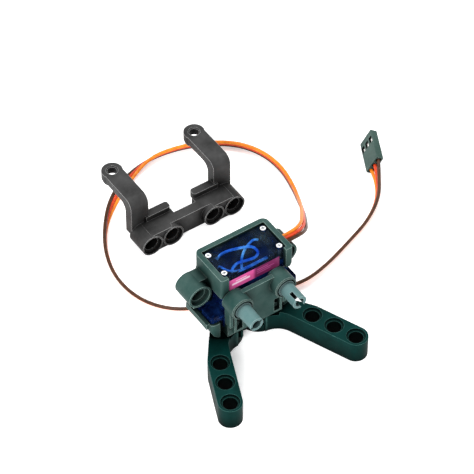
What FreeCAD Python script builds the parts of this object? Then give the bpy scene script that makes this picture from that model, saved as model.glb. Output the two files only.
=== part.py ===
"""A brick-compatible servo gripper with a loose mounting bracket, in millimetres, +Z up.

The origin is on the floor, midway between the pivots of the two jaws. The jaws and the connector
pins point to -Y, and the micro servo hangs upside down in its housing, with its long side along X.
Every driving dimension is a cell of the Sizes sheet, and each sub-part is bound to those cells.
"""
import FreeCAD, Part
import math
import os
import re

from FreeCAD import Placement, Rotation, Vector

SIZES = {
    # building-brick interface
    "brick_pitch": 8.0,
    "bore_rad": 2.4,
    "sink_rad": 3.1,
    "sink_depth": 0.8,
    "barrel_rad": 3.9,
    "barrel_len": 8.0,
    # micro servo, standing on its shaft end
    "servo_x": 1.5,
    "servo_len": 22.8,
    "servo_wid": 12.2,
    "servo_top": 33.6,
    "cover_split": 29.3,
    "flange_top": 17.7,
    "flange_thick": 2.5,
    "flange_len": 32.2,
    "case_end": 10.9,
    "turret_end": 6.9,
    "turret_rad": 5.9,
    "spline_rad": 2.3,
    "spline_end": 3.9,
    "skin": 0.9,
    "screw_x": 10.2,
    "screw_y": 4.4,
    "screw_rad": 0.6,
    "head_rad": 0.9,
    "head_sink": 0.45,
    "post_rad": 1.3,
    "case_round": 0.8,
    "bump_rad": 2.6,
    "bump_away": 6.2,
    "motor_rad": 4.15,
    "sensor_rad": 4.4,
    "seat_rad": 0.5,
    "label_left": -8.0,
    "label_right": 10.6,
    "label_low": 26.9,
    "label_high": 31.1,
    # housing
    "wall": 1.75,
    "front_wall": 1.5,
    "web_back": 2.6,
    "side_sink_rad": 3.45,
    "side_sink_depth": 1.5,
    "slot_wide": 1.1,
    "latch_x": 7.0,
    "latch_half": 1.1,
    "fit_gap": 0.15,
    "rim_top": 34.3,
    "collar_low": 26.3,
    "pin_height": 25.2,
    "pin_face": -13.5,
    "panel_front": -10.4,
    "panel_thick": 1.6,
    "panel_top": 28.4,
    "panel_low": 11.0,
    "side_face": -2.2,
    "tray_low": 8.3,
    "tray_front": -7.0,
    "tray_back": 7.4,
    "tray_left": -15.2,
    "tray_right": 16.2,
    # jaws and their gears
    "pivot_x": 7.0,
    "jaw_thick": 7.8,
    "jaw_half": 3.9,
    "jaw_angle": 22.9,
    "jaw_first_x": 10.44,
    "jaw_first_y": 15.0,
    "hub_rad": 6.9,
    "hub_high": 6.5,
    "disc_high": 3.0,
    "jaw_module": 1.0,
    "jaw_teeth": 14,
    "pivot_boss_rad": 2.5,
    # gear train inside the servo
    "fine_module": 0.3,
    "wheel_teeth": 28,
    "first_teeth": 27,
    "pinion_teeth": 8,
    "gear_thick": 0.9,
    "gear_step": 1.2,
    "train_top": 16.45,
    # loose bracket, lying on the floor behind the gripper
    "bracket_x": 10.0,
    "bracket_y": 41.0,
    "arm_high": 18.6,
    "arm_thick": 3.0,
    "arm_wide": 6.6,
    "eye_reach": 24.0,
    "eye_rad": 3.6,
    "eye_bore": 1.6,
    "eye_plate": 2.2,
    "eye_deep": 4.0,
    "head_room": 2.7,
    "web_inset": 0.15,
    "deck_front": 2.1,
    "beam_back": 5.7,
    "riser_front": 7.5,
    "riser_back": 11.0,
    "lip_front": 6.9,
    "lip_back": 9.8,
    "lip_high": 2.0,
    "lip_inner": 4.5,
    "lip_outer": 14.0,
    "bracket_sink_rad": 3.4,
    "bracket_sink_depth": 1.2,
    # servo lead and plug
    "wire_dia": 1.15,
    "wire_pitch": 1.3,
    "exit_height": 30.3,
    "plug_len": 13.0,
    "plug_wide": 7.65,
    "plug_thick": 2.54,
    "plug_pitch": 2.54,
}

# The middle wire of the lead: x, y, z and the turn of the ribbon in degrees, where 0 has the orange
# wire on the left of the direction of travel and 90 has it on top.
LEAD_ROUTE = [
    (15.3, -0.4, 30.3, 0),
    (20.9, -0.4, 30.3, 0),
    (26.6, 3.2, 26.8, 45),
    (32.6, 11.6, 20.2, 62),
    (38.6, 20.4, 12.4, 70),
    (43.8, 29.4, 5.4, 79),
    (47.8, 38.6, 2.2, 84),
    (49.8, 48.0, 1.9, 80),
    (48.9, 57.4, 1.85, 71),
    (44.4, 66.0, 1.8, 65),
    (36.4, 72.0, 1.8, 64),
    (26.6, 76.0, 1.75, 62),
    (15.6, 77.2, 1.75, 60),
    (5.0, 74.0, 0.85, 8),
    (-4.8, 67.6, 1.5, -42),
    (-13.6, 58.8, 1.9, -90),
    (-20.0, 47.8, 1.9, -80),
    (-22.8, 36.0, 1.8, -67),
    (-21.0, 24.6, 1.7, -55),
    (-14.6, 15.6, 1.6, -48),
    (-4.4, 10.8, 1.6, -50),
    (6.6, 9.4, 1.6, -50),
    (17.0, 4.8, 1.6, -50),
    (26.6, 2.2, 1.7, -54),
    (37.0, 4.2, 1.75, -61),
    (48.1, 8.2, 1.8, -63),
    (58.9, 12.2, 1.9, -68),
    (67.6, 17.9, 2.6, -75),
    (72.5, 24.8, 3.8, -72),
    (75.2, 30.2, 4.0, -64),
]
LEAD_SPREAD_POINTS = 1
PLUG_HEADING = 63.3
PLUG_ROLL = 64.0

doc = FreeCAD.newDocument("servo_gripper")
sheet = doc.addObject("Spreadsheet::Sheet", "Sizes")
for row, (alias, value) in enumerate(SIZES.items(), 1):
    sheet.set(f"A{row}", alias)
    sheet.set(f"B{row}", str(value))
    sheet.setAlias(f"B{row}", alias)
doc.recompute()
nodes = []


def cell(alias):
    """The number in a named cell of the sheet."""
    return float(sheet.get(alias))


def bound(text):
    """The expression with each alias in it pointing into the sheet."""
    def pointed(match):
        word = match.group()
        return f"Sizes.{word}" if word in SIZES else word

    return re.sub(r"[a-z][a-z_]+", pointed, str(text))


def place(obj, x, y, z):
    """Binds the object's position to three expressions."""
    for letter, text in zip("xyz", (x, y, z)):
        obj.setExpression(f"Placement.Base.{letter}", bound(text))
    return obj


def block(name, x, y, z):
    """A box between a low and a high expression along each axis."""
    obj = doc.addObject("Part::Box", name)
    for prop, (low, high) in zip(("Length", "Width", "Height"), (x, y, z)):
        obj.setExpression(prop, bound(f"({high}) - ({low})"))
    return place(obj, x[0], y[0], z[0])


def rod(name, rad, axis, a, b, span):
    """A cylinder along an axis. a and b are its centre on the other two axes, in X, Y, Z order."""
    obj = doc.addObject("Part::Cylinder", name)
    obj.setExpression("Radius", bound(rad))
    obj.setExpression("Height", bound(f"({span[1]}) - ({span[0]})"))
    turn = {"x": Rotation(Vector(0, 1, 0), 90), "y": Rotation(Vector(1, 0, 0), -90), "z": Rotation()}
    obj.Placement = Placement(Vector(), turn[axis])
    spot = {"x": (span[0], a, b), "y": (a, span[0], b), "z": (a, b, span[0])}
    return place(obj, *spot[axis])


def fuse(name, *parts, refine=True):
    """One solid from parts that overlap. Refining merges faces that lie in one plane."""
    obj = doc.addObject("Part::MultiFuse", name)
    obj.Shapes = list(parts)
    obj.Refine = refine
    return obj


def cut(name, base, *tools):
    """The base with the tools removed."""
    obj = doc.addObject("Part::Cut", name)
    obj.Base = base
    obj.Tool = tools[0] if len(tools) == 1 else fuse(f"{name}_tools", *tools)
    obj.Refine = True
    return obj


def rounded(name, base, *rounds):
    """The base with edges rounded. Each round is a radius and a test that picks edges by geometry."""
    doc.recompute()
    obj = doc.addObject("Part::Fillet", name)
    obj.Base = base
    picked = []
    for index, edge in enumerate(base.Shape.Edges, 1):
        for radius, test in rounds:
            if test(edge):
                picked.append((index, radius, radius))
                break
    obj.Edges = picked
    return obj


def solid(name, shape, x="0", y="0", z="0", turn=Rotation()):
    """A sub-part whose outline no primitive gives, made with Part's own functions and then placed."""
    obj = doc.addObject("Part::Feature", name)
    obj.Shape = shape
    obj.Placement = Placement(Vector(), turn)
    return place(obj, x, y, z)


def keep(obj, label):
    """Makes an object a sub-part, which gets its own file."""
    obj.Label = label
    nodes.append(obj)
    return obj


def group(name, *parts):
    """Separate solids in one sub-part."""
    obj = doc.addObject("Part::Compound", name)
    obj.Links = list(parts)
    return obj


def along(axis, **at):
    """A test for a straight edge along an axis that passes through the given coordinates."""
    direction = {"x": Vector(1, 0, 0), "y": Vector(0, 1, 0), "z": Vector(0, 0, 1)}[axis]

    def test(edge):
        ends = [v.Point for v in edge.Vertexes]
        if len(ends) != 2 or not isinstance(edge.Curve, (Part.Line, Part.LineSegment)):
            return False
        run = ends[1] - ends[0]
        if run.Length < 1e-6 or abs(abs(run.normalize() * direction) - 1) > 1e-6:
            return False
        return all(min(abs(getattr(ends[0], c) - v) for v in values) < 0.01 for c, values in at.items())

    return test


# ---------------------------------------------------------------- outlines

def rounded_outline(corners, height, base=0.0):
    """A prism on corners given as (x, y, radius), with an arc at each corner that has a radius."""
    count = len(corners)
    ends = []
    for i, (x, y, radius) in enumerate(corners):
        here = Vector(x, y, base)
        before = (Vector(*corners[i - 1][:2], base) - here).normalize()
        after = (Vector(*corners[(i + 1) % count][:2], base) - here).normalize()
        half = before.getAngle(after) / 2
        if not radius:
            ends.append((here, None, here))
            continue
        reach = radius / math.tan(half)
        middle = (before + after).normalize()
        centre = here + middle * (radius / math.sin(half))
        ends.append((here + before * reach, centre - middle * radius, here + after * reach))
    edges = []
    for i, (start, middle, finish) in enumerate(ends):
        if middle:
            edges.append(Part.Arc(start, middle, finish).toShape())
        following = ends[(i + 1) % count][0]
        if (following - finish).Length > 1e-6:
            edges.append(Part.LineSegment(finish, following).toShape())
    return Part.Face(Part.Wire(edges)).extrude(Vector(0, 0, height))


def gear_prism(module, teeth, shift, phase, height, base, tip, backlash):
    """A spur gear with involute flanks. phase is the direction of a tooth, in degrees."""
    pressure = math.radians(20)
    pitch_rad = module * teeth / 2
    base_rad = pitch_rad * math.cos(pressure)
    root_rad = pitch_rad + (shift - 1.25) * module
    involute = math.tan(pressure) - pressure
    thick = module * (math.pi / 2 + 2 * shift * math.tan(pressure)) - backlash
    half_at_base = thick / (2 * pitch_rad) + involute
    steps = 4
    first = max(base_rad, root_rad)
    flank = [(root_rad, half_at_base)] if root_rad < base_rad else []
    for i in range(steps + 1):
        radius = first + (tip - first) * i / steps
        angle = math.acos(min(1.0, base_rad / radius))
        flank.append((radius, half_at_base - (math.tan(angle) - angle)))
    points = []
    for tooth in range(teeth):
        middle = math.radians(phase) + 2 * math.pi * tooth / teeth
        for side, run in ((-1, flank), (1, flank[::-1])):
            for radius, half in run:
                a = middle + side * half
                points.append(Vector(radius * math.cos(a), radius * math.sin(a), base))
    wire = Part.makePolygon(points + points[:1])
    return Part.Face(wire).extrude(Vector(0, 0, height))


def wedge(low, high, reach, base, height):
    """A pie slice about the origin between two directions in degrees."""
    steps = 8
    turns = [math.radians(low + (high - low) * i / steps) for i in range(steps + 1)]
    points = [Vector(0, 0, base)] + [Vector(reach * math.cos(a), reach * math.sin(a), base) for a in turns]
    return Part.Face(Part.makePolygon(points + points[:1])).extrude(Vector(0, 0, height))


# ---------------------------------------------------------------- housing

SERVO_LEFT = "servo_x - servo_len / 2 - fit_gap"
SERVO_RIGHT = "servo_x + servo_len / 2 + fit_gap"
SERVO_FRONT = "-servo_wid / 2 - fit_gap"
SERVO_BACK = "servo_wid / 2 + fit_gap"
COLLAR_FRONT = "-servo_wid / 2 - front_wall"
BRACKET_FLAT = ("web_inset", "2 * barrel_rad + 0.05")
BARREL_BACK = f"{COLLAR_FRONT} - 0.3"


def side_boss(name, side):
    """A horizontal barrel beside the servo, with its web to the housing wall."""
    wall_x = f"{SERVO_LEFT} - 1" if side < 0 else f"{SERVO_RIGHT} + 1"
    centre = f"{side} * 2 * brick_pitch"
    web_x = (centre, wall_x) if side < 0 else (wall_x, centre)
    return fuse(
        name,
        rod(f"{name}_barrel", "barrel_rad + 0.2", "y", centre, "pin_height",
            ("side_face", "side_face + barrel_len")),
        block(f"{name}_web", web_x, ("side_face + web_back", "side_face + barrel_len"),
              ("pin_height - barrel_rad", "pin_height + barrel_rad")),
    )


def brick_bore(name, x, z, face, sink):
    """The tools of a bore along Y through a barrel, with a wider and deeper sink at its front mouth.

    sink is the start of the two names in the sheet that give the front sink's radius and depth.
    """
    far = f"{face} + barrel_len"
    return [
        rod(f"{name}_bore", "bore_rad", "y", x, z, (f"{face} - 1", f"{far} + 1")),
        rod(f"{name}_front_sink", f"{sink}_rad", "y", x, z, (f"{face} - 1", f"{face} + {sink}_depth")),
        rod(f"{name}_back_sink", "sink_rad", "y", x, z, (f"{far} - sink_depth", f"{far} + 1")),
    ]


def rear_housing():
    """The collar round the servo's upper end, its back wall and the two side barrels."""
    left, right = f"{SERVO_LEFT} - wall", f"{SERVO_RIGHT} + wall"
    collar = rounded(
        "collar_round",
        block("collar", (left, right), (COLLAR_FRONT, f"{SERVO_BACK} + wall"), ("collar_low", "rim_top")),
        (2.2, along("z", y=[cell("servo_wid") / 2 + cell("fit_gap") + cell("wall")])),
        (0.9, along("z", y=[-cell("servo_wid") / 2 - cell("front_wall")])),
    )
    body = fuse(
        "rear_body",
        collar,
        block("back_wall", (f"{left} + 0.7", f"{right} - 0.7"), (SERVO_BACK, f"{SERVO_BACK} + wall"),
              ("flange_top + 0.15", "collar_low + 1")),
        block("back_tongue", ("servo_x - 7.5", "servo_x + 7.5"), ("tray_back + 0.15", "tray_back + 1.45"),
              ("tray_low + 1.2", "flange_top + 3")),
        block("left_cheek", (f"{left} + 0.7", SERVO_LEFT),
              ("side_face + web_back", f"{SERVO_BACK} + wall"), ("flange_top + 0.15", "collar_low + 1")),
        block("right_cheek", (SERVO_RIGHT, f"{right} - 0.7"),
              ("side_face + web_back", f"{SERVO_BACK} + wall"), ("flange_top + 0.15", "collar_low + 1")),
        side_boss("left_boss", -1),
        side_boss("right_boss", 1),
        block("left_skirt", ("tray_left - 1", "tray_left + 0.25"),
              ("side_face + web_back + 1", "side_face + barrel_len"), ("flange_top - 1.1", "pin_height - 2")),
    )
    whole = cut(
        "rear_housing",
        body,
        block("servo_well", (SERVO_LEFT, SERVO_RIGHT), (SERVO_FRONT, SERVO_BACK),
              ("flange_top", "rim_top + 1")),
        block("front_mouth", ("servo_x - servo_len / 2 + 0.8", "servo_x + servo_len / 2 - 0.8"),
              (f"{SERVO_FRONT} - 3", "0"), ("collar_low - 1", "rim_top + 1")),
        block("lead_window", ("servo_x", f"{right} + 1"), ("-2.6", "2.2"),
              ("exit_height - 1", "exit_height + 1")),
        rod("right_pin_path", "bore_rad + 0.15", "y", "2 * brick_pitch", "pin_height",
            (f"{COLLAR_FRONT} - 1", "0")),
        block("tongue_window", ("servo_x - 2.8", "servo_x + 2.8"), ("tray_back - 1", "tray_back + 3"),
              ("tray_low + 2.6", "tray_low + 4.6")),
        *brick_bore("left_side", "-2 * brick_pitch", "pin_height", "side_face", "side_sink"),
        *brick_bore("right_side", "2 * brick_pitch", "pin_height", "side_face", "side_sink"),
    )
    return keep(whole, "rear_housing")


def front_cover():
    """The front panel with the two barrels that hold the connector pins, and its latch windows."""
    back = "panel_front + panel_thick"
    parts = [block("panel", ("-brick_pitch - 0.9", "brick_pitch + 0.9"), ("panel_front", back),
                   ("panel_low", "panel_top"))]
    tools = []
    for side, word in ((-1, "left"), (1, "right")):
        x = f"{side} * brick_pitch"
        parts.append(rod(f"{word}_pin_barrel", "barrel_rad", "y", x, "pin_height", ("pin_face", BARREL_BACK)))
        parts.append(rod(f"{word}_pin_ring", "barrel_rad - 0.25", "y", x, "pin_height",
                         ("pin_face - 0.35", "pin_face + 1")))
        parts.append(block(f"{word}_panel_rib", (f"{x} - 0.6 + {side} * 1.9", f"{x} + 0.6 + {side} * 1.9"),
                           ("panel_front + 0.2", "tray_front - 0.3"), ("tray_low + 6.3", "pin_height - 2")))
        tools.append(rod(f"{word}_pin_bore", "bore_rad", "y", x, "pin_height", ("pin_face - 1", "0")))
        tools.append(rod(f"{word}_pin_sink", "sink_rad + 0.25", "y", x, "pin_height",
                         ("pin_face - 1", "pin_face + 0.9")))
        latch = (f"{side} * latch_x - latch_half", f"{side} * latch_x + latch_half")
        tools.append(block(f"{word}_latch_window", latch,
                           ("panel_front - 1", f"{back} + 0.1"), ("panel_low + 1.4", "panel_low + 7")))
    plain = rounded(
        "panel_round",
        cut("panel_cut", fuse("panel_fuse", *parts), *tools),
        (0.9, along("x", y=[cell("panel_front")], z=[cell("panel_low")])),
    )
    return keep(plain, "front_cover")


def lower_housing():
    """The tray under the servo's flange, with the left jaw's pivot boss and the snap hooks."""
    low_edges = along("y", x=[cell("tray_left"), cell("tray_right")], z=[cell("tray_low")])
    shell = rounded(
        "tray_round",
        block("tray", ("tray_left", "tray_right"), ("tray_front", "tray_back"),
              ("tray_low", "flange_top - flange_thick - 0.1")),
        (5.0, low_edges),
        (1.6, along("z", x=[cell("tray_left"), cell("tray_right")])),
    )
    body = fuse(
        "tray_fuse",
        shell,
        block("left_end_wall", ("tray_left - 1", "tray_left + 0.3"), ("tray_front + 1.4", "tray_back - 1.4"),
              ("tray_low + 5", "flange_top - 2.3")),
        rod("pivot_thrust", "pivot_boss_rad + 1.7", "z", "-pivot_x", "0",
            ("hub_high + 0.15", "tray_low + 1")),
        rod("pivot_boss", "pivot_boss_rad", "z", "-pivot_x", "0", ("1.35", "tray_low + 1")),
        block("left_hook", ("-7.8", "-6.6"), ("panel_front + 1.2", "tray_front + 0.5"),
              ("panel_low + 2", "panel_low + 3.6")),
        block("right_hook", ("6.6", "7.8"), ("panel_front + 1.2", "tray_front + 0.5"),
              ("panel_low + 2", "panel_low + 3.6")),
        block("rear_hook", ("servo_x - 2.2", "servo_x + 2.2"), ("tray_back - 0.5", "tray_back + 0.95"),
              ("tray_low + 3", "tray_low + 4.2")),
        block("left_foot_tab", ("-6.6", "-1.9"), ("tray_front - 0.8", "tray_front + 0.5"),
              ("tray_low", "tray_low + 2.2")),
        block("right_foot_tab", ("1.9", "6.6"), ("tray_front - 0.8", "tray_front + 0.5"),
              ("tray_low", "tray_low + 2.2")),
        block("left_post", ("-9.85", "-7.4"), ("tray_front - 1", "tray_front + 0.5"),
              ("tray_low", "tray_low + 6")),
        block("right_post", ("7.4", "9.85"), ("tray_front - 1", "tray_front + 0.5"),
              ("tray_low", "tray_low + 6")),
    )
    whole = cut(
        "lower_housing",
        body,
        block("case_well", (SERVO_LEFT, SERVO_RIGHT), (SERVO_FRONT, SERVO_BACK),
              ("case_end - fit_gap", "servo_top")),
        rod("turret_hole", "turret_rad + 0.2", "z", "pivot_x", "0", ("tray_low - 1", "case_end + 1")),
        rod("bump_hole", "bump_rad + 0.3", "z", "pivot_x - bump_away", "0", ("tray_low - 1", "case_end + 1")),
        block("left_recess", ("-12", "-9.85"), ("tray_front - 2", "tray_front + 2"),
              ("tray_low - 1", "servo_top")),
        block("right_recess", ("9.85", "12"), ("tray_front - 2", "tray_front + 2"),
              ("tray_low - 1", "servo_top")),
        rod("pivot_pilot", "1", "z", "-pivot_x", "0", ("0", "case_end - 1")),
    )
    return keep(whole, "lower_housing")


def connector_pins():
    """Two split friction pins, half in the front cover and half standing out of it."""
    pins = []
    tip = "pin_face - barrel_len + 0.5"
    for word, side, turn in (("left", -1, 152), ("right", 1, 62)):
        x = f"{side} * brick_pitch"
        whole = fuse(
            f"{word}_pin_whole",
            rod(f"{word}_pin_shank", "bore_rad", "y", x, "pin_height", (tip, f"{BARREL_BACK} - 0.2")),
            rod(f"{word}_pin_collar", "sink_rad - 0.2", "y", x, "pin_height",
                ("pin_face - 0.5", "pin_face + 0.9")),
        )
        slot = doc.addObject("Part::Box", f"{word}_pin_slot")
        slot.setExpression("Length", bound("bore_rad * 3"))
        slot.setExpression("Width", bound("barrel_len * 0.55"))
        slot.setExpression("Height", bound("slot_wide"))
        spin = Rotation(Vector(0, 1, 0), turn)
        half = Vector(cell("bore_rad") * 1.5, 0, cell("slot_wide") / 2)
        slot.Placement = Placement(spin.multVec(-half), spin)
        offset = slot.Placement.Base
        place(slot, f"{x} + ({offset.x})", f"{tip} - 1", f"pin_height + ({offset.z})")
        bore = rod(f"{word}_pin_core", "bore_rad - 0.85", "y", x, "pin_height",
                   (f"{tip} - 1", "pin_face - 0.6"))
        pins.append(cut(f"{word}_connector_pin", whole, bore, slot))
    return keep(group("pin_pair", *pins), "connector_pins")


# ---------------------------------------------------------------- servo

CASE_X = ("servo_x - servo_len / 2", "servo_x + servo_len / 2")
CASE_Y = ("-servo_wid / 2", "servo_wid / 2")
ROOM_X = ("servo_x - servo_len / 2 + skin", "servo_x + servo_len / 2 - skin")
ROOM_Y = ("-servo_wid / 2 + skin", "servo_wid / 2 - skin")
CORNERS = [(i, j) for i in (-1, 1) for j in (-1, 1)]
IDLER_X = "pivot_x - fine_module * (wheel_teeth + pinion_teeth) / 2"
MOTOR_X = f"{IDLER_X} - fine_module * (first_teeth + pinion_teeth) / 2"


def corner_rods(name, rad, span):
    """A rod at each screw of the servo."""
    return [
        rod(f"{name}_{k}", rad, "z", f"servo_x + {i} * screw_x", f"{j} * screw_y", span)
        for k, (i, j) in enumerate(CORNERS)
    ]


def servo_case():
    """The middle of the servo's case, with its flange and the plate that carries the motor."""
    low = "flange_top - flange_thick"
    outside = rounded(
        "case_round",
        block("case_outside", CASE_X, CASE_Y, (low, "cover_split")),
        (cell("case_round"), along("z")),
    )
    flange = rounded(
        "flange_round",
        block("flange", ("servo_x - flange_len / 2", "servo_x + flange_len / 2"), CASE_Y,
              (low, "flange_top")),
        (cell("case_round"), along("z")),
    )
    room = cut(
        "case_room_cut",
        block("case_room", ROOM_X, ROOM_Y, ("train_top + 0.9", "cover_split + 1")),
        *corner_rods("case_post", "post_rad", ("0", "servo_top")),
    )
    gear_room = cut(
        "gear_room_cut",
        block("gear_room", ROOM_X, ROOM_Y, (f"{low} - 1", "train_top + 0.2")),
        *corner_rods("gear_post", "post_rad", ("0", "servo_top")),
    )
    tabs = []
    for side in (-1, 1):
        x = f"servo_x + {side} * 13.9"
        tabs.append(rod(f"flange_hole_{side + 1}", "1", "z", x, "0", ("0", "servo_top")))
        slot_x = (x, f"{x} + 4") if side > 0 else (f"{x} - 4", x)
        tabs.append(block(f"flange_slot_{side + 1}", slot_x, ("-0.6", "0.6"), ("0", "servo_top")))
    whole = cut(
        "servo_case",
        fuse("case_fuse", outside, flange),
        room,
        gear_room,
        *tabs,
        rod("motor_nose_hole", "0.9", "z", MOTOR_X, "0", ("train_top - 1", "cover_split")),
        rod("sensor_hole", "1", "z", "pivot_x", "0", ("train_top - 1", "cover_split")),
        rod("idler_seat", "seat_rad", "z", IDLER_X, "0", ("train_top - 1", "train_top + 0.8")),
        *corner_rods("case_screw_hole", "screw_rad", ("0", "servo_top")),
    )
    return keep(whole, "servo_case")


def servo_bottom_cover():
    """The clear cap that closes the servo over its circuit board, uppermost here."""
    outside = rounded(
        "cap_round",
        block("cap_outside", CASE_X, CASE_Y, ("cover_split", "servo_top")),
        (cell("case_round"), along("z")),
        (0.35, along("x", z=[cell("servo_top")])),
        (0.35, along("y", z=[cell("servo_top")])),
    )
    room = cut(
        "cap_room_cut",
        block("cap_room", ROOM_X, ROOM_Y, ("cover_split - 1", "servo_top - skin")),
        *corner_rods("cap_post", "post_rad", ("0", "servo_top")),
    )
    whole = cut(
        "servo_bottom_cover",
        outside,
        room,
        *corner_rods("cap_screw_hole", "screw_rad", ("0", "servo_top + 1")),
        *corner_rods("cap_sink", "head_rad + 0.05", ("servo_top - head_sink", "servo_top + 1")),
        block("cap_lead_notch", ("servo_x", f"{CASE_X[1]} + 1"), ("-2.45", "1.85"),
              ("exit_height - 0.85", "exit_height + 0.85")),
    )
    return keep(whole, "servo_bottom_cover")


def servo_gear_cover():
    """The cap over the gears, with the turret round the output shaft."""
    low = "flange_top - flange_thick"
    outside = rounded(
        "gear_cap_round",
        block("gear_cap_outside", CASE_X, CASE_Y, ("case_end", low)),
        (cell("case_round"), along("z")),
    )
    body = fuse(
        "gear_cap_fuse",
        outside,
        rod("turret", "turret_rad", "z", "pivot_x", "0", ("turret_end", "case_end + 0.5")),
        rod("turret_bump", "bump_rad", "z", "pivot_x - bump_away", "0", ("turret_end", "case_end + 0.5")),
    )
    whole = cut(
        "servo_gear_cover",
        body,
        cut(
            "gear_cap_room_cut",
            block("gear_cap_room", ROOM_X, ROOM_Y, ("case_end + skin", f"{low} + 1")),
            *corner_rods("gear_cap_post", "post_rad", ("0", "servo_top")),
        ),
        rod("output_hole", "spline_rad + 0.6", "z", "pivot_x", "0", ("0", "servo_top")),
        rod("idler_pin_seat", "seat_rad", "z", IDLER_X, "0", ("case_end", "servo_top")),
        *corner_rods("gear_cap_pilot", "screw_rad", ("case_end + 0.6", "servo_top")),
    )
    return keep(whole, "servo_gear_cover")


def servo_screws():
    """Four long screws that clamp the three parts of the servo's case."""
    screws = []
    for k, (i, j) in enumerate(CORNERS):
        x, y = f"servo_x + {i} * screw_x", f"{j} * screw_y"
        screws.append(cut(
            f"case_screw_{k}",
            fuse(
                f"case_screw_fuse_{k}",
                rod(f"case_screw_shank_{k}", "screw_rad", "z", x, y, ("case_end + 0.9", "servo_top")),
                rod(f"case_screw_head_{k}", "head_rad", "z", x, y,
                    ("servo_top - head_sink", "servo_top + 0.25")),
            ),
            block(f"case_screw_slot_{k}", (f"{x} - 0.6", f"{x} + 0.6"), (f"{y} - 0.2", f"{y} + 0.2"),
                  ("servo_top - 0.25", "servo_top + 1")),
            block(f"case_screw_cross_{k}", (f"{x} - 0.2", f"{x} + 0.2"), (f"{y} - 0.6", f"{y} + 0.6"),
                  ("servo_top - 0.25", "servo_top + 1")),
        ))
    return keep(group("case_screws", *screws), "servo_screws")


def servo_label():
    """The sticker on the servo's front, a padded sketch."""
    body = doc.addObject("PartDesign::Body", "label_body")
    sketch = body.newObject("Sketcher::SketchObject", "label_outline")
    plane = [f for f in body.Origin.OriginFeatures if f.Role == "XZ_Plane"][0]
    sketch.AttachmentSupport = [(plane, "")]
    sketch.MapMode = "FlatFace"
    left, right, low, high = (cell(f"label_{side}") for side in ("left", "right", "low", "high"))
    corners = [Vector(left, low, 0), Vector(right, low, 0), Vector(right, high, 0), Vector(left, high, 0)]
    for i, corner in enumerate(corners):
        sketch.addGeometry(Part.LineSegment(corner, corners[(i + 1) % 4]), False)
    pad = body.newObject("PartDesign::Pad", "label_pad")
    pad.Profile = sketch
    pad.Length = 0.1
    body.Placement = Placement(Vector(), Rotation())
    body.setExpression("Placement.Base.y", bound("-servo_wid / 2"))
    body.Tip = pad
    return keep(body, "servo_label")


def servo_electronics():
    """The circuit board, the motor, the position sensor and the thin wires between them."""
    board_low = "cover_split - 0.6"
    board_top = "cover_split + 0.3"
    board = fuse(
        "board_fuse",
        block("board", ("servo_x - 9.2", "servo_x + 9"), ("-4.9", "4.9"), (board_low, board_top)),
        block("board_chip", ("servo_x - 1", "servo_x + 3.6"), ("-1.6", "2.2"),
              (board_top, f"{board_top} + 0.7")),
        block("board_driver", ("servo_x + 5", "servo_x + 7.6"), ("1.2", "3.2"),
              (board_top, f"{board_top} + 0.6")),
        block("board_capacitor", ("servo_x - 5", "servo_x - 3.4"), ("1.6", "3.6"),
              (board_top, f"{board_top} + 0.6")),
    )
    pads = corner_rods("board_notch", "1.5", ("0", "servo_top"))
    keep(cut("circuit_board", board, *pads), "circuit_board")
    motor_top = "train_top + 11.4"
    motor = cut(
        "motor_cut",
        fuse(
            "motor_fuse",
            rod("motor_can", "motor_rad", "z", MOTOR_X, "0", ("train_top + 0.95", motor_top)),
            rod("motor_cap", "3.4", "z", MOTOR_X, "0", (motor_top, f"{motor_top} + 0.5")),
        ),
        rod("motor_bearing", "0.55", "z", MOTOR_X, "0", ("train_top", "train_top + 9")),
    )
    keep(motor, "motor")
    sensor = cut(
        "sensor_cut",
        rod("sensor_can", "sensor_rad", "z", "pivot_x", "0", ("train_top + 0.95", "train_top + 5.2")),
        rod("sensor_bore", "0.82", "z", "pivot_x", "0", ("train_top", "train_top + 4")),
    )
    keep(sensor, "position_sensor")


def wire_tube(points, diameter):
    """A tube along straight runs joined by tangent arcs, with its length and its tightest arc."""
    edges, tight, start = [], None, points[0]
    for i in range(1, len(points) - 1):
        here = points[i]
        back, ahead = points[i - 1] - here, points[i + 1] - here
        turn = math.pi - back.getAngle(ahead)
        shorter = min(back.Length, ahead.Length)
        reach = 0.45 * shorter
        radius = reach / math.tan(turn / 2)
        u, v = Vector(back).normalize(), Vector(ahead).normalize()
        first, last = here + u * reach, here + v * reach
        middle = Vector(u + v).normalize()
        mid = here + middle * (radius / math.cos(turn / 2) - radius)
        edges.append(Part.LineSegment(start, first).toShape())
        edges.append(Part.Arc(first, mid, last).toShape())
        start = last
        tight = radius if tight is None else min(tight, radius)
    edges.append(Part.LineSegment(start, points[-1]).toShape())
    path = Part.Wire(edges)
    heading = (points[1] - points[0]).normalize()
    profile = Part.Wire(Part.Circle(points[0], heading, diameter / 2).toShape())
    return path.makePipeShell([profile], True, False), path.Length, tight


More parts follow.
